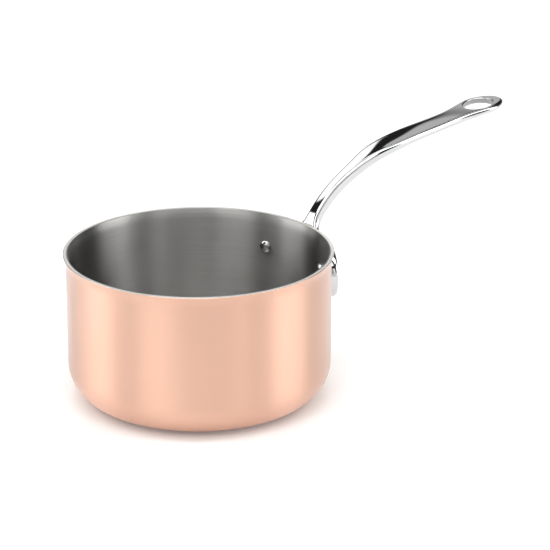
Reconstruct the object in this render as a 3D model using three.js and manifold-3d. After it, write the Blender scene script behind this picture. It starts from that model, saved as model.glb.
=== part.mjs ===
// A clad copper saucepan, in millimetres, +Z up.
// The origin is the middle of the base, where the pan stands, and the handle points along +X.
import * as THREE from "three";
import { LoftGeometry } from "three/addons/geometries/LoftGeometry.js";
import { mergeVertices } from "three/addons/utils/BufferGeometryUtils.js";
import Module from "manifold-3d";

// The pan's body: a flat base, a rounded corner, an upright wall and a rim that turns out.
const WALL_RADIUS = 80;
const RIM_HEIGHT = 91.5;
const CORNER_RADIUS = 22.5;
const LIP_HEIGHT = 6.8;
const LIP_BEND_RADIUS = 15;
const COPPER_THICKNESS = 0.5;
const CORE_THICKNESS = 1.4;
const LINING_THICKNESS = 0.5;
const SHEET_THICKNESS = COPPER_THICKNESS + CORE_THICKNESS + LINING_THICKNESS;
const TURN_STEPS = 60;
const CORNER_STEPS = 6;
const LIP_STEPS = 3;

// Clear space between pieces that are fastened together but not bonded.
const JOINT_GAP = 0.3;

// The flange: a plate with round ends that wraps the wall.
const FLANGE_THICKNESS = 4.5;
const FLANGE_HALF_WIDTH = 46.5;
const FLANGE_LOW = 54;
const FLANGE_HIGH = 83.5;

// The grip's stations, from inside the flange to the free end: how far out and how high the
// middle of its top face is, its width, its depth below that face, and the crown of the face.
const GRIP_STATIONS = [
  { out: 81.6, up: 64, width: 8, depth: 2, crown: 0 },
  { out: 81.8, up: 73, width: 12, depth: 4.5, crown: 0 },
  { out: 82.8, up: 81.5, width: 12, depth: 6.5, crown: 0.3 },
  { out: 85.3, up: 90.8, width: 10.2, depth: 7, crown: 1 },
  { out: 94, up: 102.6, width: 8.9, depth: 7.6, crown: 0.8 },
  { out: 104.6, up: 111.9, width: 8.7, depth: 7.8, crown: 0.4 },
  { out: 119, up: 120.2, width: 10.2, depth: 7.6, crown: 0.2 },
  { out: 134, up: 127, width: 14.6, depth: 7.2, crown: 0.2 },
  { out: 151, up: 131, width: 18, depth: 6.2, crown: 0.2 },
  { out: 169, up: 133.9, width: 18.2, depth: 5.6, crown: 0.2 },
  { out: 189, up: 136.2, width: 17.4, depth: 5.4, crown: 0.2 },
  { out: 208, up: 138.8, width: 18.6, depth: 5.1, crown: 0.2 },
  { out: 226, up: 141.2, width: 25, depth: 4.3, crown: 0.2 },
  { out: 245.3, up: 143, width: 25.2, depth: 4.1, crown: 0.2 },
];
const GRIP_STEPS = 44;
const END_STEPS = 6;
const END_SWEEP = THREE.MathUtils.degToRad(80);
const FACE_STEPS = 4;
const BELLY_STEPS = 12;
const NECK_SQUARENESS = 2;
const END_SQUARENESS = 3.5;

// The hanging hole, an upright oval cut near the free end.
const HOLE_OUT = 226.5;
const HOLE_HALF_LENGTH = 10.2;
const HOLE_HALF_WIDTH = 8.9;
const HOLE_STEPS = 32;

// The rivets, one on each side of the neck.
const RIVET_ANGLE = THREE.MathUtils.degToRad(20.2);
const RIVET_HEIGHT = 70.3;
const SHANK_RADIUS = 2.5;
const SHANK_CLEARANCE = 0.2;
const HEAD_RADIUS = 3.9;
const HEAD_RISE = 2;
const RIVET_SIDES = 24;
const HEAD_STEPS = 4;

// Points closer than this are one point.
const WELD_DISTANCE = 1e-4;

const wasm = await Module();
wasm.setup();

// A closed geometry as a manifold solid, with its shared points merged.
function solid(geometry) {
  const bare = geometry.index ? geometry.toNonIndexed() : geometry.clone();
  bare.deleteAttribute("normal");
  bare.deleteAttribute("uv");
  const merged = mergeVertices(bare, WELD_DISTANCE);
  const vertProperties = merged.attributes.position.array;
  const triVerts = new Uint32Array(merged.index.array);
  return new wasm.Manifold(new wasm.Mesh({ numProp: 3, vertProperties, triVerts }));
}

// A manifold solid as a three.js geometry.
function geometryOf(body) {
  const { vertProperties, triVerts } = body.getMesh();
  const geometry = new THREE.BufferGeometry();
  geometry.setAttribute("position", new THREE.BufferAttribute(vertProperties, 3));
  geometry.setIndex(new THREE.BufferAttribute(triVerts, 1));
  return geometry;
}

// A named mesh with flat-shaded metal.
function piece(name, geometry, color, roughness) {
  const material = new THREE.MeshStandardMaterial({ color, roughness, metalness: 1, flatShading: true });
  const mesh = new THREE.Mesh(geometry, material);
  mesh.name = name;
  return mesh;
}

// A lathed solid that turns about +Z instead of three.js's +Y.
function turned(profile, steps) {
  return new THREE.LatheGeometry(profile, steps).rotateX(Math.PI / 2);
}

// Half of the sheet's outline at one depth below its outer face, from the axis to the rim.
function sheetOutline(depth) {
  const points = [new THREE.Vector2(0, depth)];
  const corner = CORNER_RADIUS - depth;
  for (let i = 0; i <= CORNER_STEPS; i++) {
    const angle = (Math.PI / 2) * (i / CORNER_STEPS);
    const x = WALL_RADIUS - CORNER_RADIUS + corner * Math.sin(angle);
    points.push(new THREE.Vector2(x, CORNER_RADIUS - corner * Math.cos(angle)));
  }
  const bend = LIP_BEND_RADIUS + depth;
  const tilt = Math.asin(LIP_HEIGHT / bend);
  for (let i = 0; i <= LIP_STEPS; i++) {
    const angle = tilt * (i / LIP_STEPS);
    const x = WALL_RADIUS + LIP_BEND_RADIUS - bend * Math.cos(angle);
    points.push(new THREE.Vector2(x, RIM_HEIGHT - LIP_HEIGHT + bend * Math.sin(angle)));
  }
  return points;
}

// One layer of the clad sheet between two depths, with the rivet holes through its wall.
function layer(outerDepth, innerDepth) {
  const profile = [...sheetOutline(outerDepth), ...sheetOutline(innerDepth).reverse()];
  return solid(turned(profile, TURN_STEPS)).subtract(rivetHoles());
}

// Both rivet holes, long enough to cut the wall and the flange together.
function rivetHoles() {
  const radius = SHANK_RADIUS + SHANK_CLEARANCE;
  const length = 20;
  const holes = [-RIVET_ANGLE, RIVET_ANGLE].map((angle) => {
    const drill = new THREE.CylinderGeometry(radius, radius, length, RIVET_SIDES);
    drill.rotateZ(-Math.PI / 2);
    drill.translate(WALL_RADIUS, 0, RIVET_HEIGHT);
    drill.rotateZ(angle);
    return solid(drill);
  });
  return holes[0].add(holes[1]);
}

// The flange: a ring around the wall, kept only where a plate with round ends crosses it.
function flange() {
  const inner = WALL_RADIUS + JOINT_GAP;
  const outer = inner + FLANGE_THICKNESS;
  const ring = [
    new THREE.Vector2(inner, FLANGE_LOW),
    new THREE.Vector2(outer, FLANGE_LOW),
    new THREE.Vector2(outer, FLANGE_HIGH),
    new THREE.Vector2(inner, FLANGE_HIGH),
    new THREE.Vector2(inner, FLANGE_LOW),
  ];
  const end = (FLANGE_HIGH - FLANGE_LOW) / 2;
  const side = FLANGE_HALF_WIDTH - end;
  const plate = new THREE.Shape();
  plate.absarc(side, FLANGE_LOW + end, end, -Math.PI / 2, Math.PI / 2);
  plate.absarc(-side, FLANGE_LOW + end, end, Math.PI / 2, (3 * Math.PI) / 2);
  const block = new THREE.ExtrudeGeometry(plate, { depth: outer, bevelEnabled: false, curveSegments: 12 });
  block.rotateX(Math.PI / 2);
  block.rotateZ(Math.PI / 2);
  return solid(turned(ring, TURN_STEPS * 2)).intersect(solid(block));
}

// The grip's cross-section: a slightly crowned face above a rounded belly.
function gripSection(width, depth, crown, squareness) {
  const half = width / 2;
  const points = [];
  for (let i = 0; i < FACE_STEPS; i++) {
    const side = 1 - (2 * i) / FACE_STEPS;
    points.push(new THREE.Vector2(half * side, -crown * side * side));
  }
  for (let i = 0; i < BELLY_STEPS; i++) {
    const angle = Math.PI * (1 + i / BELLY_STEPS);
    const side = Math.sign(Math.cos(angle)) * Math.abs(Math.cos(angle)) ** (2 / squareness);
    const drop = Math.abs(Math.sin(angle)) ** (2 / squareness);
    points.push(new THREE.Vector2(half * side, -crown - (depth - crown) * drop));
  }
  return points;
}

// The grip: its section carried along the arch, and narrowed past the last station but one
// into a round free end.
function grip() {
  const spine = new THREE.CatmullRomCurve3(GRIP_STATIONS.map((s) => new THREE.Vector3(s.out, 0, s.up)));
  const sizes = new THREE.CatmullRomCurve3(
    GRIP_STATIONS.map((s) => new THREE.Vector3(s.width, s.depth, s.crown)),
  );
  const endStart = 1 - 1 / (GRIP_STATIONS.length - 1);
  const cuts = [];
  for (let i = 0; i < GRIP_STEPS; i++) {
    cuts.push({ t: (endStart * i) / GRIP_STEPS, narrow: 1 });
  }
  for (let i = 0; i <= END_STEPS; i++) {
    const angle = END_SWEEP * (i / END_STEPS);
    cuts.push({ t: endStart + (1 - endStart) * Math.sin(angle), narrow: Math.cos(angle) });
  }
  const sections = cuts.map(({ t, narrow }) => {
    const middle = spine.getPoint(t);
    const along = spine.getTangent(t);
    const up = new THREE.Vector3(-along.z, 0, along.x);
    const size = sizes.getPoint(t);
    const squareness = THREE.MathUtils.lerp(NECK_SQUARENESS, END_SQUARENESS, t);
    const outline = gripSection(size.x * narrow, size.y, Math.max(size.z, 0), squareness);
    return outline.map((p) => new THREE.Vector3(0, p.x, 0).addScaledVector(up, p.y).add(middle));
  });
  return solid(new LoftGeometry(sections, { capStart: true, capEnd: true }));
}

// The oval drill for the hanging hole.
function hangingHole() {
  const oval = new THREE.Shape();
  oval.absellipse(HOLE_OUT, 0, HOLE_HALF_LENGTH, HOLE_HALF_WIDTH, 0, Math.PI * 2);
  const drill = new THREE.ExtrudeGeometry(oval, {
    depth: RIM_HEIGHT,
    bevelEnabled: false,
    curveSegments: HOLE_STEPS,
  });
  drill.translate(0, 0, RIM_HEIGHT);
  return solid(drill);
}

// The handle: flange and grip cast in one, drilled for its rivets and its hook.
function handle() {
  return flange().add(grip()).subtract(rivetHoles()).subtract(hangingHole());
}

// A rivet along +X: a domed head inside the pan, a shank, and a formed head outside.
function rivet() {
  const inside = WALL_RADIUS - SHEET_THICKNESS - JOINT_GAP;
  const outside = WALL_RADIUS + JOINT_GAP + FLANGE_THICKNESS + JOINT_GAP;
  const profile = [];
  for (let i = 0; i <= HEAD_STEPS; i++) {
    const angle = (Math.PI / 2) * (i / HEAD_STEPS);
    profile.push(new THREE.Vector2(HEAD_RADIUS * Math.sin(angle), inside - HEAD_RISE * Math.cos(angle)));
  }
  profile.push(new THREE.Vector2(SHANK_RADIUS, inside), new THREE.Vector2(SHANK_RADIUS, outside));
  for (let i = HEAD_STEPS; i >= 0; i--) {
    const angle = (Math.PI / 2) * (i / HEAD_STEPS);
    profile.push(new THREE.Vector2(HEAD_RADIUS * Math.sin(angle), outside + HEAD_RISE * Math.cos(angle)));
  }
  return new THREE.LatheGeometry(profile, RIVET_SIDES).rotateZ(-Math.PI / 2);
}

const pan = new THREE.Group();
const copperDepth = COPPER_THICKNESS;
const coreDepth = COPPER_THICKNESS + CORE_THICKNESS;
pan.add(piece("copper_shell", geometryOf(layer(0, copperDepth)), 0xd98f6c, 0.28));
pan.add(piece("aluminium_core", geometryOf(layer(copperDepth, coreDepth)), 0xc9cbcd, 0.35));
pan.add(piece("steel_lining", geometryOf(layer(coreDepth, SHEET_THICKNESS)), 0xb9b9b7, 0.32));
pan.add(piece("handle", geometryOf(handle()), 0xd6d7d8, 0.06));
for (const [name, angle] of [["rivet_left", RIVET_ANGLE], ["rivet_right", -RIVET_ANGLE]]) {
  const fastener = piece(name, rivet(), 0xc4c5c6, 0.18);
  fastener.position.z = RIVET_HEIGHT;
  fastener.rotation.z = angle;
  pan.add(fastener);
}

export default pan;
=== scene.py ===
# %% [markdown]
# # A clad copper saucepan
#
# The pan is made the way the real one is. A clad sheet of copper, aluminium and stainless steel
# is drawn into a deep round body, its edge is turned out a little and cut flat, and a cast and
# polished steel handle is held on by two rivets. Each of those is its own piece here.
#
# The CAD model is loaded first. It sets the sizes that the pieces below repeat, and it stays as
# the collision model. Its facets are too coarse for mirror polish, so each piece is worked out
# again as a finer surface that stays inside it.

# %% Load the frame
import math

import bmesh
import bpy
import numpy as np
from mathutils import Matrix


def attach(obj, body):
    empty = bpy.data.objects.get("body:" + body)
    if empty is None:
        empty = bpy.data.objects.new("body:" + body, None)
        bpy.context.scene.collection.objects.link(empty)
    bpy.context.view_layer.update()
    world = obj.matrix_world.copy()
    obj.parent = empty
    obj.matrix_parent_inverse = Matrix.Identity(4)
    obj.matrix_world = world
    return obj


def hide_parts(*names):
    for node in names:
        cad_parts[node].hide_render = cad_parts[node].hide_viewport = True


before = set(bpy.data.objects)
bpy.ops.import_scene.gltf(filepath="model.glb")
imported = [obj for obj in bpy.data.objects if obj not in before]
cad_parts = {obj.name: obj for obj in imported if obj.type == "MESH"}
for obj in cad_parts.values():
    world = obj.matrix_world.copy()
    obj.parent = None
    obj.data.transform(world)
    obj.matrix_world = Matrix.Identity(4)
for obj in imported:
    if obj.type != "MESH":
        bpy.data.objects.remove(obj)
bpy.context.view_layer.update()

# %% [markdown]
# ## The camera and the studio
#
# A long lens from one and a half metres away keeps the rim a calm, narrow ellipse. The camera
# looks down by about twenty degrees, with the handle going away to the right. Its place is set
# out round the pan's own axis: a bearing, a height and a distance.

# %% Place the camera
# Distances are in metres and angles in degrees. A bearing counts anticlockwise, seen from above.
CAMERA_BEARING = -37.0
CAMERA_BACK, CAMERA_HEIGHT = 1.5018, 0.6319
CAMERA_YAW, CAMERA_PITCH = 1.75, 20.33
CAMERA_SEES_TO = 50.0
LENS_MM = 173.8


def turned_about_z(vector, degrees):
    """The vector turned about the upright axis: x and y mixed by the cosine and sine."""
    c, s = math.cos(math.radians(degrees)), math.sin(math.radians(degrees))
    x, y, z = vector
    return np.array([c * x - s * y, s * x + c * y, z])


def make_camera():
    """The camera stands back along the bearing, and looks along its yaw and pitch."""
    yaw, pitch = math.radians(CAMERA_YAW), math.radians(CAMERA_PITCH)
    ahead = (math.sin(yaw) * math.cos(pitch), math.cos(yaw) * math.cos(pitch), -math.sin(pitch))
    right = (math.cos(yaw), -math.sin(yaw), 0)
    ahead, right = turned_about_z(ahead, CAMERA_BEARING), turned_about_z(right, CAMERA_BEARING)
    up = np.cross(right, ahead)
    stand = turned_about_z((0, -CAMERA_BACK, CAMERA_HEIGHT), CAMERA_BEARING)
    data = bpy.data.cameras.new("camera")
    data.lens = LENS_MM
    data.clip_end = CAMERA_SEES_TO
    camera = bpy.data.objects.new("camera", data)
    matrix = np.eye(4)
    matrix[:3, 0], matrix[:3, 1], matrix[:3, 2], matrix[:3, 3] = right, up, -ahead, stand
    camera.matrix_world = Matrix(matrix.tolist())
    bpy.context.scene.collection.objects.link(camera)
    bpy.context.scene.camera = camera
    return camera


print("camera at", [round(x, 3) for x in make_camera().location])

# %% [markdown]
# ## The light
#
# Polished metal shows its surroundings more than itself, so the studio matters as much as the
# steel. The room is one world shader, built of bands stacked by height. Lowest is a sweep of
# pale backdrop, then a wall with a tall soft panel to the left and another to the right, a dark
# gap all round above it, the lower and the upper part of the ceiling, and an even light
# overhead. The gap, and the dark stretches beside the panels, draw the crisp dark shapes on the
# handle's arch. A band looks up its brightness from the compass bearing.

# %% Describe the room
# A band is a list of bearings, each with the brightness there. These bearings count from the
# camera's right, so 90 is straight ahead, beyond the pan, and -90 is behind the camera.
SWEEP = [
    (-180, 3.0), (-170, 2.8), (-162, 1.8), (-148, 1.8), (-138, 2.6), (-125, 2.6), (-110, 0.9),
    (-40, 0.9), (-18, 2.2), (8, 2.2), (16, 0.6), (102, 0.8), (108, 0.1), (143, 0.1), (149, 3.0),
    (180, 3.0),
]
WALL = [
    (-180, 3.4), (-174, 3.4), (-168, 0.03), (-146, 0.03), (-138, 1.5), (-112, 1.3),
    (-104, 0.5), (-62, 0.5), (-57, 1.3), (-48, 1.0), (-42, 0.08), (-28, 0.1),
    (-18, 3.4), (6, 3.4), (14, 0.03), (70, 0.03), (82, 0.66), (104, 0.66), (111, 0.05),
    (156, 0.05), (163, 3.4), (180, 3.4),
]
CEILING_THIS_SIDE = [
    (-180, 4.6), (-174, 4.6), (-168, 0.03), (-146, 0.03), (-138, 2.8), (-112, 2.6),
    (-105, 1.2), (-62, 1.2), (-57, 2.4), (-48, 1.8), (-42, 0.1), (-28, 0.1), (-18, 4.4),
    (6, 4.4), (14, 0.03),
]
LOW_CEILING = CEILING_THIS_SIDE + [(72, 0.03), (82, 1.7), (160, 1.8), (170, 4.6), (180, 4.6)]
HIGH_CEILING = CEILING_THIS_SIDE + [
    (75, 0.03), (85, 1.2), (110, 1.2), (118, 0.03), (166, 0.03), (172, 4.6), (180, 4.6),
]
DARK_GAP = [(-180, 0.02), (180, 0.02)]
OVERHEAD = [(-180, 4.4), (180, 4.4)]
# The height in degrees at which each band takes over from the one below it.
BANDS = [(8, WALL), (27.4, DARK_GAP), (36.8, LOW_CEILING), (49, HIGH_CEILING), (74, OVERHEAD)]
# Half of the height over which two bands blend, and a brightness that none of them passes.
SOFT_STEP = 1.0
BRIGHTEST = 6.0
print("room with", 1 + len(BANDS), "bands")


# %% Make the studio
def math_node(tree, operation, first, second=None):
    """A Math node whose inputs are sockets or plain numbers."""
    node = tree.nodes.new("ShaderNodeMath")
    node.operation = operation
    for socket, value in zip(node.inputs, (first, second)):
        if isinstance(value, (int, float)):
            socket.default_value = value
        elif value is not None:
            tree.links.new(value, socket)
    return node.outputs[0]


def ramp_node(tree, factor, stops):
    """A Color Ramp that eases between grey stops at the given places from 0 to 1."""
    node = tree.nodes.new("ShaderNodeValToRGB")
    node.color_ramp.interpolation = "EASE"
    elements = node.color_ramp.elements
    greys = [(spot, (value, value, value, 1)) for spot, value in stops]
    elements[0].position, elements[0].color = greys[0]
    elements[1].position, elements[1].color = greys[-1]
    for spot, grey in greys[1:-1]:
        elements.new(spot).color = grey
    tree.links.new(factor, node.inputs[0])
    return node.outputs[0]


def brightness_round(tree, share, stops):
    """A band's brightness, looked up by the share of the turn from -180 to 180 degrees."""
    scaled = [((bearing + 180) / 360, value / BRIGHTEST) for bearing, value in stops]
    return math_node(tree, "MULTIPLY", ramp_node(tree, share, scaled), BRIGHTEST)


def make_world():
    """Brightness from direction: the bearing picks a brightness on each band, and the height
    picks the band, with a soft step from each band to the next."""
    world = bpy.data.worlds.new("studio")
    world.use_nodes = True
    tree = world.node_tree
    background = tree.nodes["Background"]
    direction = tree.nodes.new("ShaderNodeTexCoord").outputs["Generated"]
    split = tree.nodes.new("ShaderNodeSeparateXYZ")
    tree.links.new(direction, split.inputs[0])
    bearing = math_node(tree, "ARCTAN2", split.outputs[1], split.outputs[0])
    from_right = math_node(tree, "SUBTRACT", bearing, math.radians(CAMERA_BEARING))
    turns = math_node(tree, "DIVIDE", from_right, 2 * math.pi)
    # Half a turn puts -180 degrees at 0, and a whole turn more keeps the sum above 0.
    share = math_node(tree, "FRACT", math_node(tree, "ADD", turns, 1.5))
    height = math_node(tree, "DIVIDE", math_node(tree, "ARCSINE", split.outputs[2]), math.pi / 2)

    lit = brightness_round(tree, share, SWEEP)
    for start, stops in BANDS:
        edges = [((start - SOFT_STEP) / 90, 0.0), ((start + SOFT_STEP) / 90, 1.0)]
        step = ramp_node(tree, height, edges)
        level = brightness_round(tree, share, stops)
        blend = tree.nodes.new("ShaderNodeMix")
        for socket, value in zip(("Factor", "A", "B"), (step, lit, level)):
            tree.links.new(value, blend.inputs[socket])
        lit = blend.outputs["Result"]
    tree.links.new(lit, background.inputs["Strength"])
    background.inputs["Color"].default_value = (1, 1, 1, 1)
    bpy.context.scene.world = world
    bpy.context.scene.view_settings.view_transform = "Standard"
    return tree


print("studio shader with", len(make_world().nodes), "nodes")

# %% [markdown]
# ## Helpers for surfaces
#
# Every piece below is a grid of points worked out with numpy. A grid has rows along one
# parameter and columns along the other, and its last column joins its first. These helpers make
# the grid's quads, merge the points that meet at its poles, and make a mesh object at the
# origin with its place in its points.

# %% Grids into meshes
MM = 0.001
WELD = 1e-6


def grid_quads(rows, columns):
    """Quads between neighbouring rows and columns, with the last column joined to the first.
    The order of corners makes the face point to the left of the row direction."""
    i = np.arange(rows - 1)[:, None]
    j = np.arange(columns)[None, :]
    k = (j + 1) % columns
    below = i + 1
    corners = [i * columns + j, i * columns + k, below * columns + k, below * columns + j]
    return np.stack(corners, -1).reshape(-1, 4)


def grid_uv(rows, columns):
    """The row and column of each quad's corners, as numbers that go on past the seam."""
    i = np.arange(rows - 1)[:, None]
    j = np.arange(columns)[None, :]
    across = np.stack(np.broadcast_arrays(j, j + 1, j + 1, j), -1) + 0 * i[..., None]
    down = np.stack(np.broadcast_arrays(i, i, i + 1, i + 1), -1) + 0 * j[..., None]
    return down.reshape(-1), across.reshape(-1)


def mesh_of(name, points, faces, uv=None):
    """A mesh from points in millimetres, with doubles merged and smooth shading."""
    mesh = bpy.data.meshes.new(name)
    mesh.from_pydata((np.asarray(points) * MM).tolist(), [], [list(f) for f in faces])
    if uv is not None:
        layer = mesh.uv_layers.new(name="turning")
        layer.data.foreach_set("uv", uv.astype(np.float32).ravel())
    work = bmesh.new()
    work.from_mesh(mesh)
    bmesh.ops.remove_doubles(work, verts=work.verts, dist=WELD)
    bmesh.ops.dissolve_degenerate(work, edges=work.edges, dist=WELD)
    work.to_mesh(mesh)
    work.free()
    mesh.shade_smooth()
    return mesh


def place(name, mesh):
    """A new object at the origin for a mesh."""
    piece = bpy.data.objects.new(name, mesh)
    bpy.context.scene.collection.objects.link(piece)
    return piece


print("points are in millimetres, and closer ones than", WELD / MM, "mm are merged")

# %% Cut and finish a piece
SHARP_DEGREES = 35


def cut(piece, drills):
    """The piece with each drill's space taken away, as real solids."""
    for drill in drills:
        tool = place("drill", drill)
        modifier = piece.modifiers.new("cut", "BOOLEAN")
        modifier.object, modifier.operation, modifier.solver = tool, "DIFFERENCE", "EXACT"
        bpy.context.view_layer.update()
        solved = piece.evaluated_get(bpy.context.evaluated_depsgraph_get())
        result = bpy.data.meshes.new_from_object(solved)
        piece.modifiers.clear()
        piece.data = result
        bpy.data.objects.remove(tool)
    piece.data.name = piece.name
    return piece


def finish_piece(piece, node, material):
    """The piece rides on the pan, stands for its CAD node and wears its finish. Edges that turn
    by more than the sharp angle stay crisp."""
    piece.data.materials.clear()
    piece.data.materials.append(material)
    piece.data.shade_smooth()
    piece.data.set_sharp_from_angle(angle=math.radians(SHARP_DEGREES))
    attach(piece, "root")
    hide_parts(node)
    faces = sum(len(p.vertices) - 2 for p in piece.data.polygons)
    print(f"{piece.name}: {faces} triangles, box", [round(x / MM, 1) for x in piece.dimensions])


print("edges sharper than", SHARP_DEGREES, "degrees stay crisp")

# %% [markdown]
# ## The clad body
#
# The body is spun from one disc of bonded sheet, so its three metals follow each other at a
# constant distance: half a millimetre of copper, a thick aluminium core and half a millimetre
# of stainless steel. One outline serves all three. A layer is the outline at one depth, and
# back along the outline at the next depth, turned once round the axis. The rim is cut flat, so
# the three metals show there as rings.

# %% The outline of the sheet
WALL_RADIUS, RIM_HEIGHT, CORNER_RADIUS = 80.0, 91.5, 22.5
LIP_HEIGHT, LIP_BEND_RADIUS = 6.8, 15.0
COPPER, CORE, LINING = 0.5, 1.4, 0.5
BASE_POINTS, CORNER_POINTS, WALL_POINTS, LIP_POINTS, SOFT_POINTS = 16, 28, 18, 16, 7


def sheet_outline(depth, soften=0.0):
    """Half of the sheet's outline at one depth below the outer face, from the axis to the rim.
    The parts are a flat base, a quarter circle less the depth, a straight wall and a circle
    bending outwards. With soften, a small quarter circle of that radius ends it: it rounds the
    rim's outer corner if soften is above 0, and its inner corner if soften is below 0."""
    flat = WALL_RADIUS - CORNER_RADIUS
    base = np.linspace(0, 1, BASE_POINTS)[:-1, None] * [flat, 0] + [0, depth]
    angle = np.linspace(0, np.pi / 2, CORNER_POINTS)
    corner = CORNER_RADIUS - depth
    bend_x = flat + corner * np.sin(angle)
    corner_points = np.stack([bend_x, CORNER_RADIUS - corner * np.cos(angle)], 1)
    heights = np.linspace(CORNER_RADIUS, RIM_HEIGHT - LIP_HEIGHT, WALL_POINTS)[1:-1]
    wall = np.stack([np.full_like(heights, WALL_RADIUS - depth), heights], 1)
    bend = LIP_BEND_RADIUS + depth
    tilt = np.linspace(0, math.asin((LIP_HEIGHT - abs(soften)) / bend), LIP_POINTS)
    lip_x = WALL_RADIUS + LIP_BEND_RADIUS - bend * np.cos(tilt)
    lip = np.stack([lip_x, RIM_HEIGHT - LIP_HEIGHT + bend * np.sin(tilt)], 1)
    outline = np.concatenate([base, corner_points, wall, lip])
    if soften:
        turn = np.linspace(0, np.pi / 2, SOFT_POINTS)[1:, None]
        rounding = np.hstack([soften * (np.cos(turn) - 1), abs(soften) * np.sin(turn)])
        outline = np.concatenate([outline, outline[-1] + rounding])
    return outline


outer = sheet_outline(0)
print("half outline", len(outer), "points, rim at radius", round(outer[-1][0], 2))

# %% Turning an outline
BODY_COLUMNS = 240
BODY_MAP_LENGTH = 100.0


def running_length(points):
    """The length along a line of points in a plane, from its first point to each of them."""
    return np.concatenate([[0], np.cumsum(np.hypot(*np.diff(points, axis=0).T))])


def turned_points(outline, columns):
    """An outline of radius and height turned once about the upright axis: x is radius times
    the cosine of the angle, y is radius times the sine, and z is the height."""
    angle = np.arange(columns) * (2 * np.pi / columns)
    radius, height = outline[:, :1], outline[:, 1:]
    return np.stack([radius * np.cos(angle), radius * np.sin(angle), height + 0 * angle], -1)


def turned_mesh(name, points, outline, map_length):
    """A closed mesh of turned points. Its map counts turns one way and, the other way, the
    length along the outline in units of map_length."""
    rows, columns = points.shape[:2]
    down, across = grid_uv(rows, columns)
    uv = np.stack([across / columns, running_length(outline)[down] / map_length], 1)
    return mesh_of(name, points.reshape(-1, 3), grid_quads(rows, columns), uv)


print("the sheet's outline is", round(running_length(outer)[-1], 1), "mm long")

# %% Rivet places and drills
RIVET_ANGLE, RIVET_HEIGHT = 20.2, 70.3
SHANK_RADIUS, SHANK_CLEARANCE = 2.5, 0.2
# The drills start inside the pan and end outside the flange.
DRILL_START, DRILL_END = 74.0, 90.0
DRILL_COLUMNS = 40
RIVET_MAP_LENGTH = 10.0


def aimed(points, angle):
    """Points about the z axis laid down along the ray from the pan's axis through a rivet: old
    z becomes the distance out, and old x the height above the rivet's middle."""
    c, s = math.cos(math.radians(angle)), math.sin(math.radians(angle))
    x, y, z = points[..., 0], points[..., 1], points[..., 2]
    return np.stack([c * z + s * y, s * z - c * y, x + RIVET_HEIGHT], -1)


def aimed_mesh(name, outline, columns, angle):
    """An outline of radius and distance out, turned about a rivet's own axis."""
    return turned_mesh(name, aimed(turned_points(outline, columns), angle), outline, RIVET_MAP_LENGTH)


def rivet_drills():
    """Two rods through wall and flange, a little wider than the shanks."""
    r = SHANK_RADIUS + SHANK_CLEARANCE
    rod = np.array([[0, DRILL_START], [r, DRILL_START], [r, DRILL_END], [0, DRILL_END]])
    return [aimed_mesh("drill", rod, DRILL_COLUMNS, angle) for angle in (RIVET_ANGLE, -RIVET_ANGLE)]


print("rivets", round(2 * WALL_RADIUS * math.sin(math.radians(RIVET_ANGLE)), 1), "mm apart")

# %% [markdown]
# ## Finishes
#
# Three metals are shown in six finishes. The copper is satin polished under a thin clear
# lacquer: fine lines run round the body, and the tone drifts a little from place to place. The
# steel lining is brushed the same way but coarser, and the core's cut edge is ground. The
# handle is polished to a mirror, the rivets a little less, and the inside of the hanging hole
# stays dull, because the wheel doesn't reach it. The lines come from noise that is squeezed
# along the turning direction, so that each line runs a long way round before it fades, and the
# same direction turns the highlights into tall bands.

# %% Material helpers
# Noise seldom leaves this middle range.
NOISE_LOW, NOISE_HIGH = 0.3, 0.7
QUARTER_TURN = 0.25


def new_material(name):
    """A metal with its tree and its shader."""
    material = bpy.data.materials.new(name)
    material.use_nodes = True
    shader = material.node_tree.nodes["Principled BSDF"]
    shader.inputs["Metallic"].default_value = 1
    return material, material.node_tree, shader


def object_place(tree):
    """Where a point is, in metres from the middle of the base."""
    return tree.nodes.new("ShaderNodeTexCoord").outputs["Object"]


def turning_map(tree):
    """Where a point is on the piece's own map: turns, and length along the outline."""
    node = tree.nodes.new("ShaderNodeUVMap")
    node.uv_map = "turning"
    return node.outputs[0]


def noise(tree, where, scale, detail, stretch=(1, 1, 1)):
    """Noise from 0 to 1 on a stretched copy of the coordinates."""
    mapping = tree.nodes.new("ShaderNodeMapping")
    mapping.inputs["Scale"].default_value = stretch
    tree.links.new(where, mapping.inputs["Vector"])
    node = tree.nodes.new("ShaderNodeTexNoise")
    node.inputs["Scale"].default_value = scale
    node.inputs["Detail"].default_value = detail
    tree.links.new(mapping.outputs[0], node.inputs["Vector"])
    return node.outputs[0]


def spread(tree, factor, low, high):
    """The middle range of some noise carried to low and high."""
    node = tree.nodes.new("ShaderNodeMapRange")
    node.inputs["From Min"].default_value = NOISE_LOW
    node.inputs["From Max"].default_value = NOISE_HIGH
    node.inputs["To Min"].default_value = low
    node.inputs["To Max"].default_value = high
    tree.links.new(factor, node.inputs["Value"])
    return node.outputs[0]


def bump(tree, height, strength, distance):
    """Bumps that would be as high as the distance, in metres, where the height is 1, at a share
    of their full strength."""
    node = tree.nodes.new("ShaderNodeBump")
    node.inputs["Strength"].default_value = strength
    node.inputs["Distance"].default_value = distance
    tree.links.new(height, node.inputs["Height"])
    return node.outputs[0]


def tangent(tree, shader):
    """Highlights stretch along the tangent, so it is turned a quarter from the turning lines."""
    shader.inputs["Anisotropic Rotation"].default_value = QUARTER_TURN
    node = tree.nodes.new("ShaderNodeTangent")
    node.direction_type = "UV_MAP"
    node.uv_map = "turning"
    tree.links.new(node.outputs[0], shader.inputs["Tangent"])


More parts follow.
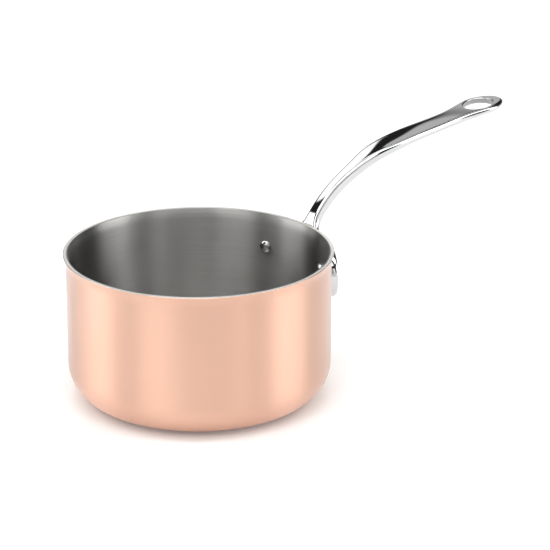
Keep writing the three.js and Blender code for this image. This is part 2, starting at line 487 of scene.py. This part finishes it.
def at_height(tree, start, end):
    """0 below the start and 1 above the end, or the other way round if the end is lower, with
    an even change between. Heights are in millimetres above the floor."""
    split = tree.nodes.new("ShaderNodeSeparateXYZ")
    tree.links.new(object_place(tree), split.inputs[0])
    node = tree.nodes.new("ShaderNodeMapRange")
    node.inputs["From Min"].default_value = start * MM
    node.inputs["From Max"].default_value = end * MM
    tree.links.new(split.outputs[2], node.inputs["Value"])
    return node.outputs[0]


def mixed(tree, factor, first, second):
    """The first colour where the factor is 0 and the second where it is 1. Each is a colour or
    a socket."""
    node = tree.nodes.new("ShaderNodeMix")
    node.data_type = "RGBA"
    tree.links.new(factor, node.inputs["Factor"])
    for socket, color in (("A", first), ("B", second)):
        if isinstance(color, tuple):
            node.inputs[socket].default_value = (*color, 1)
        else:
            tree.links.new(color, node.inputs[socket])
    return node.outputs["Result"]


print("noise between", NOISE_LOW, "and", NOISE_HIGH, "is spread over each finish's range")

# %% Satin copper
COPPER_DEEP, COPPER_PALE = (0.735, 0.445, 0.33), (0.755, 0.465, 0.345)
# Painted highlight: the copper is painted pale at the rim's cut edge, between these depths in mm
# below the rim.
PAINTED_RIM_HIGHLIGHT, RIM_HIGHLIGHT_STARTS, RIM_HIGHLIGHT_FULL = (0.88, 0.72, 0.6), 0.15, 0.05
# Painted shade: the copper is painted dark towards the bottom of the base, between these heights in
# mm.
PAINTED_BASE_SHADE, BASE_SHADE_ENDS, BASE_SHADE_FULL = (0.42, 0.2, 0.13), 4.5, 1.2
# How often the noise repeats: per turn, and per length of the map along the outline.
COPPER_LINES = (9, 420, 1)


def satin_copper():
    """Copper with fine turned lines, a slow drift of tone and slightly uneven gloss. A painted
    highlight makes the rim's cut edge pale, and painted shade darkens the edge of the base."""
    material, tree, shader = new_material("satin_copper")
    drift = noise(tree, object_place(tree), scale=14, detail=3)
    lines = noise(tree, turning_map(tree), scale=1, detail=3, stretch=COPPER_LINES)
    color = mixed(tree, spread(tree, drift, 0, 1), COPPER_DEEP, COPPER_PALE)
    # Painted highlight along the rim's cut edge.
    rim_highlight = at_height(tree, RIM_HEIGHT - RIM_HIGHLIGHT_STARTS, RIM_HEIGHT - RIM_HIGHLIGHT_FULL)
    color = mixed(tree, rim_highlight, color, PAINTED_RIM_HIGHLIGHT)
    # Painted shade at the bottom edge of the base.
    color = mixed(tree, at_height(tree, BASE_SHADE_ENDS, BASE_SHADE_FULL), color, PAINTED_BASE_SHADE)
    tree.links.new(color, shader.inputs["Base Color"])
    tree.links.new(spread(tree, lines, low=0.34, high=0.42), shader.inputs["Roughness"])
    shader.inputs["Anisotropic"].default_value = 0.95
    shader.inputs["Coat Weight"].default_value = 0.6
    shader.inputs["Coat Roughness"].default_value = 0.2
    tangent(tree, shader)
    ridges = bump(tree, lines, strength=0.08, distance=0.00004)
    tree.links.new(ridges, shader.inputs["Normal"])
    return material


copper_finish = satin_copper()
print(copper_finish.name, len(copper_finish.node_tree.nodes), "nodes")

# %% Brushed steel and ground aluminium
STEEL_DEEP, STEEL_PALE = (0.4, 0.395, 0.385), (0.47, 0.465, 0.455)
BRUSH_LINES, BRUSH_SMEARS = (5, 300, 1), (11, 6, 1)
ALUMINIUM_COLOR = (0.91, 0.9, 0.87, 1)


def brushed_steel():
    """Stainless steel with turned brush lines that catch the light unevenly."""
    material, tree, shader = new_material("lining_steel")
    lines = noise(tree, turning_map(tree), scale=1, detail=4, stretch=BRUSH_LINES)
    smears = noise(tree, turning_map(tree), scale=1, detail=1, stretch=BRUSH_SMEARS)
    color = mixed(tree, spread(tree, lines, 0, 1), STEEL_DEEP, STEEL_PALE)
    tree.links.new(color, shader.inputs["Base Color"])
    tree.links.new(spread(tree, smears, low=0.33, high=0.39), shader.inputs["Roughness"])
    shader.inputs["Anisotropic"].default_value = 1.0
    tangent(tree, shader)
    ridges = bump(tree, lines, strength=0.35, distance=0.0001)
    tree.links.new(ridges, shader.inputs["Normal"])
    return material


def grained_metal(name, color, scale, detail, low, high, strength, distance):
    """A metal of one colour. Its grain has a scale per metre and a detail, spreads the
    roughness from low to high, and stands up as bumps with a strength and a distance."""
    material, tree, shader = new_material(name)
    grain = noise(tree, object_place(tree), scale, detail)
    shader.inputs["Base Color"].default_value = color
    tree.links.new(spread(tree, grain, low, high), shader.inputs["Roughness"])
    tree.links.new(bump(tree, grain, strength, distance), shader.inputs["Normal"])
    return material


lining_finish = brushed_steel()
core_finish = grained_metal(
    "ground_aluminium", ALUMINIUM_COLOR, scale=900, detail=2, low=0.34, high=0.46,
    strength=0.1, distance=0.00005,
)
print(lining_finish.name, core_finish.name)

# %% Polished steel, and the dull steel inside the hole
MIRROR_COLOR, DULL_COLOR = (0.58, 0.58, 0.585, 1), (0.4, 0.4, 0.4, 1)
HANDLE_HAZE, RIVET_HAZE = 0.055, 0.2
# The least haze, as a share of the greatest.
LEAST_HAZE = 0.6


def mirror_steel(name, haze):
    """Polished steel: a mirror with slow waves from the buffing wheel and faint, uneven haze."""
    material, tree, shader = new_material(name)
    where = object_place(tree)
    cloud = noise(tree, where, scale=60, detail=3)
    waves = noise(tree, where, scale=90, detail=2)
    shader.inputs["Base Color"].default_value = MIRROR_COLOR
    tree.links.new(spread(tree, cloud, haze * LEAST_HAZE, haze), shader.inputs["Roughness"])
    ripples = bump(tree, waves, strength=0.03, distance=0.0001)
    tree.links.new(ripples, shader.inputs["Normal"])
    return material


handle_finish = mirror_steel("mirror_steel", HANDLE_HAZE)
rivet_finish = mirror_steel("rivet_polish", RIVET_HAZE)
hole_finish = grained_metal(
    "satin_steel", DULL_COLOR, scale=700, detail=3, low=0.45, high=0.6,
    strength=0.2, distance=0.00008,
)
print(handle_finish.name, rivet_finish.name, hole_finish.name)

# %% [markdown]
# ## The three layers
#
# The copper's outer edge and the lining's inner edge are softened at the rim, as a ground rim
# has its burrs taken off. Each layer is closed all the way round, and is drilled for the rivets.

# %% Make the layers
RIM_SOFTENING = 0.22


def layer_outline(outer_depth, inner_depth, soften_outer=0.0, soften_inner=0.0):
    """Out along one depth and back along the other, which makes a closed ring when turned."""
    there = sheet_outline(outer_depth, soften_outer)
    back = sheet_outline(inner_depth, -soften_inner)
    return np.concatenate([there, back[::-1]])


def make_layer(node, outline, material):
    """One layer of the sheet, turned and drilled."""
    name = node + "_piece"
    mesh = turned_mesh(name, turned_points(outline, BODY_COLUMNS), outline, BODY_MAP_LENGTH)
    finish_piece(cut(place(name, mesh), rivet_drills()), node, material)


copper_outline = layer_outline(0, COPPER, soften_outer=RIM_SOFTENING)
core_outline = layer_outline(COPPER, COPPER + CORE)
lining_outline = layer_outline(COPPER + CORE, COPPER + CORE + LINING, soften_inner=RIM_SOFTENING)
make_layer("copper_shell", copper_outline, copper_finish)
make_layer("aluminium_core", core_outline, core_finish)
make_layer("steel_lining", lining_outline, lining_finish)

# %% [markdown]
# ## The handle
#
# The handle is one casting. A plate with round ends hugs the wall, its middle swells into a
# neck, and the neck arches up and out and flattens into a paddle with a hanging hole. In mirror
# steel any kink shows as a broken reflection, so the whole casting is one surface: a section
# carried along a smoothed path. The rows run along the path. The columns run round the section:
# across the face, round a small softened edge, along the belly and round the other edge.

# %% The path and its sizes
# Out from the axis, up from the base, half width, depth, and how far the middle of the face
# stands above its edges, less than 0 where the face is dished. All in millimetres.
HANDLE_STATIONS = np.array([
    [80.3, 54, 6, 4.5, 0],
    [80.3, 60, 6, 4.5, 0],
    [80.3, 66, 6, 4.6, 0],
    [80.5, 72, 6, 5.4, 0],
    [81.3, 78, 6, 6.6, 0],
    [82.9, 84.5, 5.7, 7, 0],
    [85.3, 90.8, 5.1, 7, 0],
    [94, 102.6, 4.45, 7.6, -0.1],
    [104.6, 111.9, 4.35, 7.8, -0.2],
    [119, 120.2, 5.1, 7.6, -0.3],
    [134, 127, 7.3, 7.2, -0.45],
    [151, 131, 9, 6.2, -0.5],
    [169, 133.9, 9.1, 5.6, -0.45],
    [189, 136.2, 8.7, 5.4, -0.25],
    [208, 138.8, 9.3, 5.1, 0],
    [226, 141.2, 12.5, 4.3, 0],
    [245.3, 143, 12.6, 4.1, 0],
])
PATH_STEP = 0.25
# The bell curve's width, and how many widths of it are used.
SMOOTHING, BELL_REACH = 4.0, 3


def spline_through(knots, values, at):
    """The natural cubic spline: cubic between knots, with slopes and curvatures that agree at
    each knot, and no curvature at the ends. The curvatures solve one small linear system."""
    gap = np.diff(knots)
    n = len(knots)
    system, target = np.eye(n), np.zeros_like(values)
    inner = np.arange(1, n - 1)
    system[inner, inner - 1], system[inner, inner + 1] = gap[:-1], gap[1:]
    system[inner, inner] = 2 * (gap[:-1] + gap[1:])
    rise = np.diff(values, axis=0) / gap[:, None]
    target[1:-1] = 6 * (rise[1:] - rise[:-1])
    curve = np.linalg.solve(system, target)
    k = np.clip(np.searchsorted(knots, at, side="right") - 1, 0, n - 2)
    left, right, width = (at - knots[k])[:, None], (knots[k + 1] - at)[:, None], gap[k][:, None]
    bend = (curve[k] * right**3 + curve[k + 1] * left**3) / (6 * width)
    line = (values[k] / width - curve[k] * width / 6) * right
    return bend + line + (values[k + 1] / width - curve[k + 1] * width / 6) * left


def smoothed(samples, reach):
    """Each sample averaged with its neighbours under a bell curve, with straight extensions at
    both ends so that the ends stay where they are."""
    radius = int(BELL_REACH * reach / PATH_STEP)
    k = np.arange(1, radius + 1)[:, None]
    before = samples[0] - (samples[1] - samples[0]) * k[::-1]
    after = samples[-1] + (samples[-1] - samples[-2]) * k
    whole = np.concatenate([before, samples, after])
    bell = np.exp(-0.5 * (np.arange(-radius, radius + 1) * PATH_STEP / reach) ** 2)
    bell /= bell.sum()
    return np.stack([np.convolve(column, bell, "valid") for column in whole.T], 1)


chord = running_length(HANDLE_STATIONS[:, :2])
steps = np.arange(0, chord[-1], PATH_STEP)
samples = smoothed(spline_through(chord, HANDLE_STATIONS, steps), SMOOTHING)
path_length = running_length(samples[:, :2])
slope = np.gradient(samples[:, :2], axis=0)
slope /= np.linalg.norm(slope, axis=1)[:, None]
print("path", round(path_length[-1], 1), "mm, ending at", samples[-1, :2].round(1))


# %% Reading the path
def along_path(distance, column):
    """A size of the path at each distance along it."""
    return np.interp(distance, path_length, samples[:, column])


def path_frame(distance):
    """Where the face's middle is, and which way the face looks: the slope turned a quarter."""
    out, up = along_path(distance, 0), along_path(distance, 1)
    run = np.interp(distance, path_length, slope[:, 0])
    rise = np.interp(distance, path_length, slope[:, 1])
    size = np.hypot(run, rise)
    return out, up, -rise / size, run / size


def ease(value, start, end):
    """0 before start and 1 after end, with a smooth change between."""
    t = np.clip((value - start) / (end - start), 0, 1)
    return t * t * (3 - 2 * t)


print("half way along, the grip is", round(2 * along_path(path_length[-1] / 2, 2), 1), "mm wide")

# %% The outline of the flange and neck
# Unrolled from the wall, the flange is a plate with round ends: FLANGE_ROUND is their radius,
# and FLANGE_SIDE is how far to each side their centres are.
FLANGE_INNER, FLANGE_THICKNESS = 80.3, 4.5
FLANGE_ROUND, FLANGE_SIDE = 14.75, 32.25
FLANGE_FILLET = 14.0
# Distances along the path count from the flange's lower edge.
NECK_STARTS, NECK_FULL = 24.0, 40.0
# The search for the outline starts between 0 and this half width.
WIDEST, HALVINGS = 60, 40


def flange_edge(side, distance):
    """How far a point is outside the outline, less than 0 inside. It is the distance to a
    plate with round ends, melted into the distance to the neck's strip."""
    sideways = np.abs(side)
    beyond = np.maximum(sideways - FLANGE_SIDE, 0)
    plate = np.hypot(beyond, distance - FLANGE_ROUND) - FLANGE_ROUND
    lower = np.maximum(FLANGE_ROUND - distance, 0)
    strip = np.where(lower > 0, np.hypot(sideways, lower), sideways - along_path(distance, 2))
    melt = np.maximum(FLANGE_FILLET - np.abs(plate - strip), 0) ** 2 / (4 * FLANGE_FILLET)
    return np.minimum(plate, strip) - melt


def half_width(distance):
    """Where the outline crosses each row, found by halving an interval again and again."""
    low, high = np.zeros_like(distance), np.full_like(distance, WIDEST)
    for _ in range(HALVINGS):
        middle = (low + high) / 2
        inside = flange_edge(middle, distance) < 0
        low, high = np.where(inside, middle, low), np.where(inside, high, middle)
    return low


widths = half_width(np.array([1.0, FLANGE_ROUND, NECK_STARTS, NECK_FULL]))
print("half widths up the flange and neck", widths.round(1))

# %% The columns of the section
FACE_COLUMNS, EDGE_COLUMNS, BELLY_COLUMNS = 17, 6, 72


def section_columns(half, edge, power):
    """How far to the side each column stands: across the face, round the first edge, back
    along the belly and round the last edge. The belly's columns crowd towards its sides by a
    power, because it turns quickly there. The edges' own depths come last: each is a quarter
    circle."""
    face = np.linspace(1, -1, FACE_COLUMNS)[None, :] * (half - edge)
    turn = np.linspace(0, np.pi / 2, EDGE_COLUMNS + 1)[None, 1:-1]
    first = -(half - edge) - edge * np.sin(turn)
    even = np.linspace(-1, 1, BELLY_COLUMNS)[None, :]
    belly = half * np.sign(even) * (1 - (1 - np.abs(even)) ** power)
    last = (half - edge) + edge * np.sin(turn[:, ::-1])
    return face, first, belly, last, edge * (1 - np.cos(turn))


print(FACE_COLUMNS + 2 * (EDGE_COLUMNS - 1) + BELLY_COLUMNS, "columns round the section")

# %% Depths below the face
# The flange's outer edges are rounded over by this much.
EDGE_ROUNDING = 1.4
# The bevels along the face's edges start at a share of its half width and drop by this much.
# They belong to the arch, and fade between these distances out from the axis.
BEVEL_START, BEVEL_DROP, BEVEL_POWER = 0.58, 0.38, 1.25
BEVEL_FADES = (120.0, 155.0)
# Beside the neck, the flange's face falls back to the wall between these sides.
FALLS_BACK = (6.0, 15.0)
# The flange's middle swells into the neck within this distance to each side.
SWELL_SIDE = 15.0
# How far the path has left the wall counts only up to this distance along it.
LIFT_ENDS = 50.0


def handle_depths(distance, half, edge, square):
    """How deep below the face's middle each column lies, and how far to its side. The face
    falls away from its crown, and over the flange it falls back to the wall. The belly is a
    plate with a swelling over the flange and a full round under the neck and grip, and the two
    melt into one another. The full round's depth and side, as shares of the greatest, have
    powers that add up to 1."""
    depth, crown = along_path(distance, 3), along_path(distance, 4)
    neck = ease(distance, NECK_STARTS, NECK_FULL)
    lift = np.where(distance < LIFT_ENDS, along_path(distance, 0) - FLANGE_INNER, 0)
    bevel_drop = BEVEL_DROP * (1 - ease(along_path(distance, 0), *BEVEL_FADES))

    def face_depth(side):
        share = np.abs(side) / half
        bevel = np.maximum((share - BEVEL_START) / (1 - BEVEL_START), 0) ** BEVEL_POWER * bevel_drop
        return crown * share**2 + bevel * neck - lift * ease(np.abs(side), *FALLS_BACK)

    def belly_depth(side):
        brim = face_depth(half) + edge
        inset = np.clip(-flange_edge(side, distance) / EDGE_ROUNDING, 0, 1)
        rounding = np.sqrt(1 - (1 - inset) ** 2)
        swell = np.clip(1 - (side / SWELL_SIDE) ** 2, 0, 1) ** 2
        plate = FLANGE_THICKNESS - lift + (lift + depth - FLANGE_THICKNESS) * swell
        low = face_depth(side) + edge
        flange = low + (plate - low) * rounding
        share = np.clip(np.abs(side) / half, 0, 1)
        full = brim + (depth - brim) * (1 - share**square) ** (1 / square)
        return flange * (1 - neck) + full * neck

    face, first, belly, last, drop = section_columns(half, edge, square)
    corner = face_depth(half - edge)
    depths = [face_depth(face), corner + drop, belly_depth(belly), corner + drop[:, ::-1]]
    return np.hstack(depths), np.hstack([face, first, belly, last])


print("bevels end", BEVEL_FADES[1], "mm out")

# %% The handle's surface
SHARP_EDGE, SOFT_EDGE = 0.15, 2.0
# The section's power grows along the path from nearly an ellipse to a squarer shape.
ROUND_POWER, SQUARER_BY = 2.2, 1.3
# First distance, last distance and step of the rows on the flange, its fillet and the neck.
ROW_STRETCHES = [(0.12, 26, 0.6), (26, 34, 0.2), (34, 60, 0.5)]
GRIP_ROWS, FAN_ROWS = 200, 30
FAN_CENTRE_OUT = 226.0
# The wrap round the wall eases off between these distances, and never quite to nothing, so
# that it can be divided by.
WRAP_FADES, LEAST_WRAP = (26, 44), 1e-9


def handle_points():
    """Rows along the path, then a fan of rows that turn round the paddle's free end. A point is
    its row's middle, plus its side across, less its depth along the face's normal. Over the
    flange the section is bent round the pan's axis by an angle of side over radius."""
    centre = np.interp(FAN_CENTRE_OUT, samples[:, 0], path_length)
    reach = path_length[-1] - centre
    near = [np.arange(*stretch) for stretch in ROW_STRETCHES]
    rows = np.concatenate([*near, np.linspace(ROW_STRETCHES[-1][1], centre, GRIP_ROWS)])
    fan = np.concatenate([np.zeros(len(rows)), np.linspace(0, np.pi / 2, FAN_ROWS)[1:]])[:, None]
    rows = np.concatenate([rows, np.full(FAN_ROWS - 1, centre)])[:, None]
    half = half_width(rows)
    edge = SHARP_EDGE + (SOFT_EDGE - SHARP_EDGE) * ease(rows, NECK_STARTS, NECK_FULL)
    square = ROUND_POWER + SQUARER_BY * rows / path_length[-1]
    depth, side = handle_depths(rows, half, edge, square)
    forward = np.abs(side) / half * reach * np.sin(fan)
    out, up, face_x, face_z = path_frame(rows + forward)
    bend = (1 - ease(rows, *WRAP_FADES)) / FLANGE_INNER + LEAST_WRAP
    angle = side * np.cos(fan) * bend
    across = np.sin(angle) / bend + depth * np.sin(angle)
    inward = (1 - np.cos(angle)) / bend - depth * np.cos(angle)
    return np.stack([out + face_x * inward, across, up + face_z * inward], -1)


def make_handle_mesh():
    """The rows joined up, with one flat face that closes the flange's lower end."""
    points = handle_points()
    rows, columns = points.shape[:2]
    faces = grid_quads(rows, columns).tolist()
    faces.append(list(range(columns))[::-1])
    return mesh_of("handle_piece", points.reshape(-1, 3), faces)


handle_mesh = make_handle_mesh()
print("handle grid", len(handle_mesh.vertices), "points")

# %% [markdown]
# ## The hanging hole
#
# The real hole is drilled as an oval and its edges are rounded over on the buffing wheel. The
# drill here is an upright oval whose wall flares out at both faces, so that one cut makes the
# hole and its rounded edges together.

# %% The oval drill
HOLE_OUT, HOLE_HALF_LENGTH, HOLE_HALF_WIDTH = 226.5, 10.2, 8.9
HOLE_ROUNDING = 0.7
HOLE_COLUMNS = 96
# The flare starts at this angle, after a straight run that reaches out of the steel.
FLARE_START, FLARE_POINTS, FLARE_REACH = 12, 8, 4
# The belly under the paddle, a little shallower so that the lower flare meets it.
PADDLE_POWER, BELLY_INSET = 3.4, 0.2


def hole_drill():
    """Each column stands at one angle of the oval. Its points go from above the face, down a
    flare, a straight wall and a flare again, to below the belly. Heights are measured from the
    face and the belly at that place, so the flares follow the paddle."""
    start = math.radians(FLARE_START)
    turn = np.linspace(start, math.pi / 2, FLARE_POINTS)
    flare = np.stack([1 - np.sin(turn), np.cos(turn) - 1], 1) * HOLE_ROUNDING
    reach = flare[0] + FLARE_REACH * np.array([math.cos(start), math.sin(start)])
    top = np.vstack([[0, reach[1]], reach, flare])
    angle = np.arange(HOLE_COLUMNS) * (2 * math.pi / HOLE_COLUMNS)
    wider = np.concatenate([top[:, 0], top[::-1, 0]])[:, None]
    # The first and the last row close the drill at its middle.
    keep = np.ones_like(wider)
    keep[0] = keep[-1] = 0
    x = HOLE_OUT + keep * (HOLE_HALF_LENGTH + wider) * np.cos(angle)
    y = keep * (HOLE_HALF_WIDTH + wider) * np.sin(angle)
    wall_x, wall_y = HOLE_OUT + HOLE_HALF_LENGTH * np.cos(angle), HOLE_HALF_WIDTH * np.sin(angle)
    spot = np.interp(wall_x, samples[:, 0], path_length)
    ahead = np.maximum(wall_x - FAN_CENTRE_OUT, 0) / (samples[-1, 0] - FAN_CENTRE_OUT)
    share = np.hypot(wall_y / along_path(spot, 2), ahead)
    face = np.interp(x, samples[:, 0], samples[:, 1]) - along_path(spot, 4) * share**2
    round_share = (1 - share**PADDLE_POWER) ** (1 / PADDLE_POWER)
    belly = face - (along_path(spot, 3) - BELLY_INSET) * round_share
    count = len(top)
    height = np.concatenate([face[:count] + top[:, 1:], belly[count:] - top[::-1, 1:]])
    points = np.stack([x, y, height], -1)
    faces = grid_quads(len(points), HOLE_COLUMNS)[:, ::-1]
    return mesh_of("drill", points.reshape(-1, 3), faces)


print("hole", 2 * HOLE_HALF_LENGTH, "by", 2 * HOLE_HALF_WIDTH, "mm")

# %% Drill the handle
# A face belongs to the hole's wall if it stands close to the oval and looks nearly level.
CLOSE_TO_OVAL, NEARLY_LEVEL = 1.02, 0.6


def paint_hole(piece, material):
    """Gives the hole's upright wall a second finish, and counts its faces."""
    mesh = piece.data
    centres = np.zeros(len(mesh.polygons) * 3)
    normals = np.zeros(len(mesh.polygons) * 3)
    mesh.polygons.foreach_get("center", centres)
    mesh.polygons.foreach_get("normal", normals)
    centres, normals = centres.reshape(-1, 3) / MM, normals.reshape(-1, 3)
    share = np.hypot((centres[:, 0] - HOLE_OUT) / HOLE_HALF_LENGTH, centres[:, 1] / HOLE_HALF_WIDTH)
    wall = (share < CLOSE_TO_OVAL) & (np.abs(normals[:, 2]) < NEARLY_LEVEL)
    mesh.materials.append(material)
    mesh.polygons.foreach_set("material_index", wall.astype(np.int32))
    return int(wall.sum())


handle = cut(place("handle_piece", handle_mesh), [hole_drill(), *rivet_drills()])
finish_piece(handle, "handle", handle_finish)
print("hole wall", paint_hole(handle, hole_finish), "faces")

# %% [markdown]
# ## The rivets
#
# Each rivet is a steel pin with a low dome inside the pan. It goes through the wall and the
# flange, and its other end is pressed into a second dome. It is one outline turned about its
# own axis and aimed from the pan's axis.

# %% Make the rivets
HEAD_RADIUS, HEAD_RISE, HEAD_SKIRT = 3.9, 1.8, 0.3
# How far out from the pan's axis the two heads sit, on the lining and on the flange.
INNER_SEAT, OUTER_SEAT = 77.48, 84.74
DOME_POINTS, RIVET_COLUMNS = 16, 56


def rivet_outline():
    """Radius against distance out: a quarter ellipse for each dome, a short skirt under it, and
    a straight shank between the seats. The outer dome is the inner one turned end for end."""
    angle = np.linspace(0, np.pi / 2, DOME_POINTS)
    dome_out = INNER_SEAT - HEAD_SKIRT - HEAD_RISE * np.cos(angle)
    inner = np.stack([HEAD_RADIUS * np.sin(angle), dome_out], 1)
    outer_dome = np.stack([inner[::-1, 0], OUTER_SEAT + INNER_SEAT - inner[::-1, 1]], 1)
    inner_seat = [[HEAD_RADIUS, INNER_SEAT], [SHANK_RADIUS, INNER_SEAT]]
    outer_seat = [[SHANK_RADIUS, OUTER_SEAT], [HEAD_RADIUS, OUTER_SEAT]]
    return np.concatenate([inner, inner_seat, outer_seat, outer_dome])


for side_name, rivet_angle in (("rivet_left", RIVET_ANGLE), ("rivet_right", -RIVET_ANGLE)):
    rivet_mesh = aimed_mesh(side_name, rivet_outline(), RIVET_COLUMNS, rivet_angle)
    finish_piece(place(side_name + "_piece", rivet_mesh), side_name, rivet_finish)

# %% [markdown]
# ## The floor
#
# A plain pale floor, far wider than the view. It lights the pan's side and the underside of the
# handle from below, so its paleness is part of the light.

# %% Lay the floor
FLOOR_SIZE = 6.0
FLOOR_COLOR, FLOOR_GLOW = (0.93, 0.93, 0.93, 1), 0.12


def pale_floor():
    """A square sheet of matt white with a faint glow of its own."""
    material, tree, shader = new_material("pale_floor")
    shader.inputs["Metallic"].default_value = 0
    shader.inputs["Base Color"].default_value = FLOOR_COLOR
    shader.inputs["Emission Color"].default_value = (1, 1, 1, 1)
    shader.inputs["Emission Strength"].default_value = FLOOR_GLOW
    shader.inputs["Roughness"].default_value = 0.5
    shader.inputs["Specular IOR Level"].default_value = 0.3
    half = FLOOR_SIZE / 2 / MM
    corners = np.array([[-half, -half, 0], [half, -half, 0], [half, half, 0], [-half, half, 0]])
    floor = place("floor", mesh_of("floor", corners, [[0, 1, 2, 3]]))
    floor.data.materials.append(material)


pale_floor()
print("floor", FLOOR_SIZE, "m")
